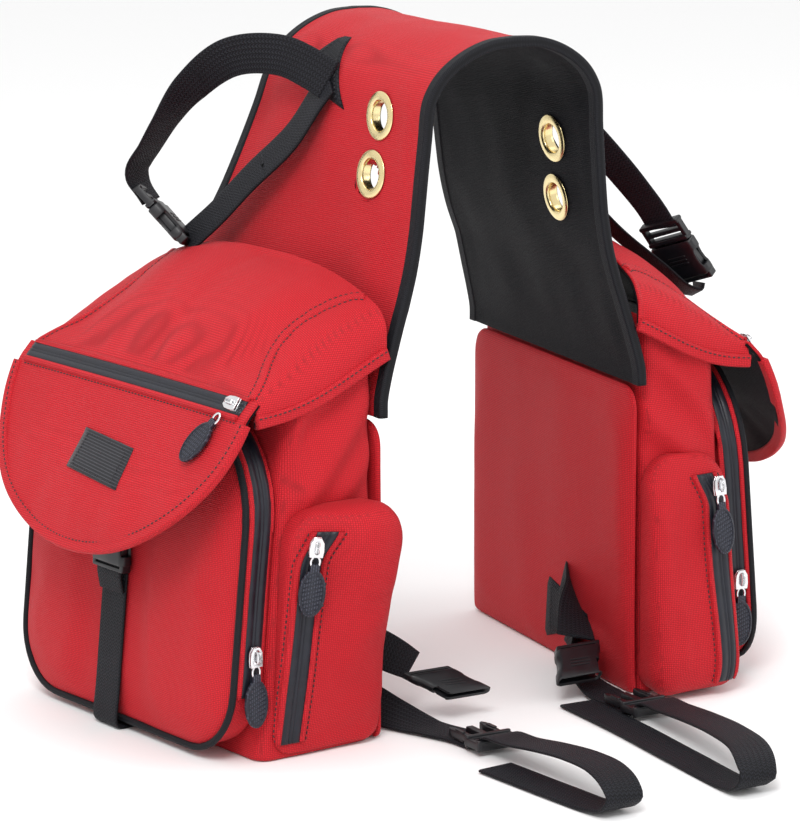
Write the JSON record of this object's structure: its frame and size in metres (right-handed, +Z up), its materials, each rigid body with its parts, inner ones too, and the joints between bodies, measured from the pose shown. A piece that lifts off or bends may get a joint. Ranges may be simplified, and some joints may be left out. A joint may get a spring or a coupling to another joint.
{
  "type": "saddlebag pair",
  "caption": "Pair of stuffed cloth pouches with buckled flaps and zipped pockets, joined by a yoke that lies over a saddle, with tie-down loops and girth straps.",
  "frame": {"origin": "middle of the base, measured without the girth straps, on the plane the pouches stand on", "axes": "+Z up; X across the horse from the left pouch to the right one; Y along the horse, with both side pockets on the -Y side"},
  "size_m": [0.4914, 0.4432, 0.4145],
  "materials": {
    "red_cloth": "coarse woven nylon, matt",
    "black_cloth": "coarse woven nylon, matt",
    "black_webbing": "ribbed webbing",
    "zip_tape": "coated tape, satin",
    "buckle_plastic": "moulded, satin",
    "pull_rubber": "moulded with raised ribs",
    "brass": "pale plated brass, polished",
    "nickel": "bright nickel"
  },
  "bodies": {
    "bag": {"yoke_outer": "red_cloth", "yoke_lining": "black_cloth", "near_binding": "black_webbing", "far_binding": "black_webbing", "left_upper_grommet": "brass", "left_lower_grommet": "brass", "right_upper_grommet": "brass", "right_lower_grommet": "brass", "left_back_panel": "red_cloth", "left_main_compartment": "red_cloth", "left_front_pocket": "red_cloth", "left_front_piping": "black_webbing", "left_front_zip": "zip_tape", "left_side_pocket": "red_cloth", "left_side_zip": "zip_tape", "left_closure_webbing": "black_webbing", "left_closure_socket": "buckle_plastic", "left_girth_short_leg": "black_webbing", "left_girth_socket": "buckle_plastic", "left_girth_long_leg": "black_webbing", "left_girth_plug": "buckle_plastic", "right_back_panel": "red_cloth", "right_main_compartment": "red_cloth", "right_front_pocket": "red_cloth", "right_front_piping": "black_webbing", "right_front_zip": "zip_tape", "right_side_pocket": "red_cloth", "right_side_zip": "zip_tape", "right_closure_webbing": "black_webbing", "right_closure_socket": "buckle_plastic", "right_girth_short_leg": "black_webbing", "right_girth_socket": "buckle_plastic", "right_girth_long_leg": "black_webbing", "right_girth_plug": "buckle_plastic"},
    "left_flap": {"left_flap_roof": "red_cloth", "left_flap_lip": "red_cloth", "left_flap_zip": "zip_tape"},
    "left_flap_slider": {"left_flap_slider": "nickel"},
    "left_flap_pull": {"left_flap_pull": "pull_rubber"},
    "left_front_slider": {"left_front_slider": "nickel"},
    "left_front_pull": {"left_front_pull": "pull_rubber"},
    "left_side_slider": {"left_side_slider": "nickel"},
    "left_side_pull": {"left_side_pull": "pull_rubber"},
    "left_closure_plug": {"left_closure_plug": "buckle_plastic"},
    "left_loop": {"left_loop_webbing": "black_webbing", "left_loop_socket": "buckle_plastic"},
    "left_loop_plug": {"left_loop_plug": "buckle_plastic"},
    "right_flap": {"right_flap_roof": "red_cloth", "right_flap_lip": "red_cloth", "right_flap_zip": "zip_tape"},
    "right_flap_slider": {"right_flap_slider": "nickel"},
    "right_flap_pull": {"right_flap_pull": "pull_rubber"},
    "right_front_slider": {"right_front_slider": "nickel"},
    "right_front_pull": {"right_front_pull": "pull_rubber"},
    "right_side_slider": {"right_side_slider": "nickel"},
    "right_side_pull": {"right_side_pull": "pull_rubber"},
    "right_closure_plug": {"right_closure_plug": "buckle_plastic"},
    "right_loop": {"right_loop_webbing": "black_webbing", "right_loop_socket": "buckle_plastic"},
    "right_loop_plug": {"right_loop_plug": "buckle_plastic"}
  },
  "joints": [
    {"name": "left_flap_hinge", "type": "hinge", "parent": "bag", "child": "left_flap", "pos_m": [-0.0942, 0.01859, 0.276], "axis": [-0.1167, 0.9932, 0], "range_deg": [0, 100]},
    {"name": "left_flap_zip_run", "type": "slide", "parent": "left_flap", "child": "left_flap_slider", "axis": [-0.1167, 0.9932, 0], "range_m": [0, 0.204]},
    {"name": "left_flap_pull_swing", "type": "hinge", "parent": "left_flap_slider", "child": "left_flap_pull", "pos_m": [-0.18942, -0.09149, 0.20719], "axis": [0.1358, 0.8748, 0.465], "range_deg": [0, 100]},
    {"name": "left_front_zip_run", "type": "slide", "parent": "bag", "child": "left_front_slider", "axis": [0.0997, 0.0117, 0.9949], "range_m": [0, 0.06]},
    {"name": "left_front_pull_swing", "type": "hinge", "parent": "left_front_slider", "child": "left_front_pull", "pos_m": [-0.17322, -0.10618, 0.0579], "axis": [-0.9932, -0.1167, 0], "range_deg": [0, 100]},
    {"name": "left_side_zip_run", "type": "slide", "parent": "bag", "child": "left_side_slider", "axis": [-0.0521, 0.1315, -0.9899], "range_m": [0, 0.03]},
    {"name": "left_side_pull_swing", "type": "hinge", "parent": "left_side_slider", "child": "left_side_pull", "pos_m": [-0.14408, -0.12557, 0.12363], "axis": [-0.9343, 0.3437, 0.0948], "range_deg": [0, 100]},
    {"name": "left_closure_release", "type": "slide", "parent": "bag", "child": "left_closure_plug", "axis": [0.0997, 0.0117, 0.9949], "range_m": [0, 0.022]},
    {"name": "left_loop_swing", "type": "hinge", "parent": "bag", "child": "left_loop", "pos_m": [-0.0547, 0.01165, 0.3808], "axis": [0, 1, 0], "range_deg": [0, 85]},
    {"name": "left_loop_release", "type": "slide", "parent": "left_loop", "child": "left_loop_plug", "axis": [-0.4364, 0.5674, 0.6983], "range_m": [0, 0.02], "deforming": ["left_loop_webbing"]},
    {"name": "right_flap_hinge", "type": "hinge", "parent": "bag", "child": "right_flap", "pos_m": [0.1108, 0.01859, 0.276], "axis": [-0.1167, -0.9932, 0], "range_deg": [0, 100]},
    {"name": "right_flap_zip_run", "type": "slide", "parent": "right_flap", "child": "right_flap_slider", "axis": [0.1167, 0.9932, 0], "range_m": [0, 0.204]},
    {"name": "right_flap_pull_swing", "type": "hinge", "parent": "right_flap_slider", "child": "right_flap_pull", "pos_m": [0.1894, -0.08953, 0.20719], "axis": [0.1358, -0.8748, -0.465], "range_deg": [0, 100]},
    {"name": "right_front_zip_run", "type": "slide", "parent": "bag", "child": "right_front_slider", "axis": [-0.0819, 0.0096, 0.9966], "range_m": [0, 0.06]},
    {"name": "right_front_pull_swing", "type": "hinge", "parent": "right_front_slider", "child": "right_front_pull", "pos_m": [0.1732, -0.10423, 0.0579], "axis": [-0.9932, 0.1167, 0], "range_deg": [0, 100]},
    {"name": "right_side_zip_run", "type": "slide", "parent": "bag", "child": "right_side_slider", "axis": [0.0262, -0.1312, -0.991], "range_m": [0, 0.06]},
    {"name": "right_side_pull_swing", "type": "hinge", "parent": "right_side_slider", "child": "right_side_pull", "pos_m": [0.1458, -0.12053, 0.12441], "axis": [-0.9988, -0.045, -0.0205], "range_deg": [0, 100]},
    {"name": "right_closure_release", "type": "slide", "parent": "bag", "child": "right_closure_plug", "axis": [-0.0819, 0.0096, 0.9966], "range_m": [0, 0.022]},
    {"name": "right_loop_swing", "type": "hinge", "parent": "bag", "child": "right_loop", "pos_m": [0.0713, 0.01165, 0.3808], "axis": [0, -1, 0], "range_deg": [0, 85]},
    {"name": "right_loop_release", "type": "slide", "parent": "right_loop", "child": "right_loop_plug", "axis": [-0.5463, 0.1093, 0.8304], "range_m": [0, 0.02], "deforming": ["right_loop_webbing"]}
  ],
  "couplings": [
    {"joint": "left_loop_swing", "follows": "left_flap_hinge", "ratio": 0.85},
    {"joint": "right_loop_swing", "follows": "right_flap_hinge", "ratio": 0.85}
  ]
}
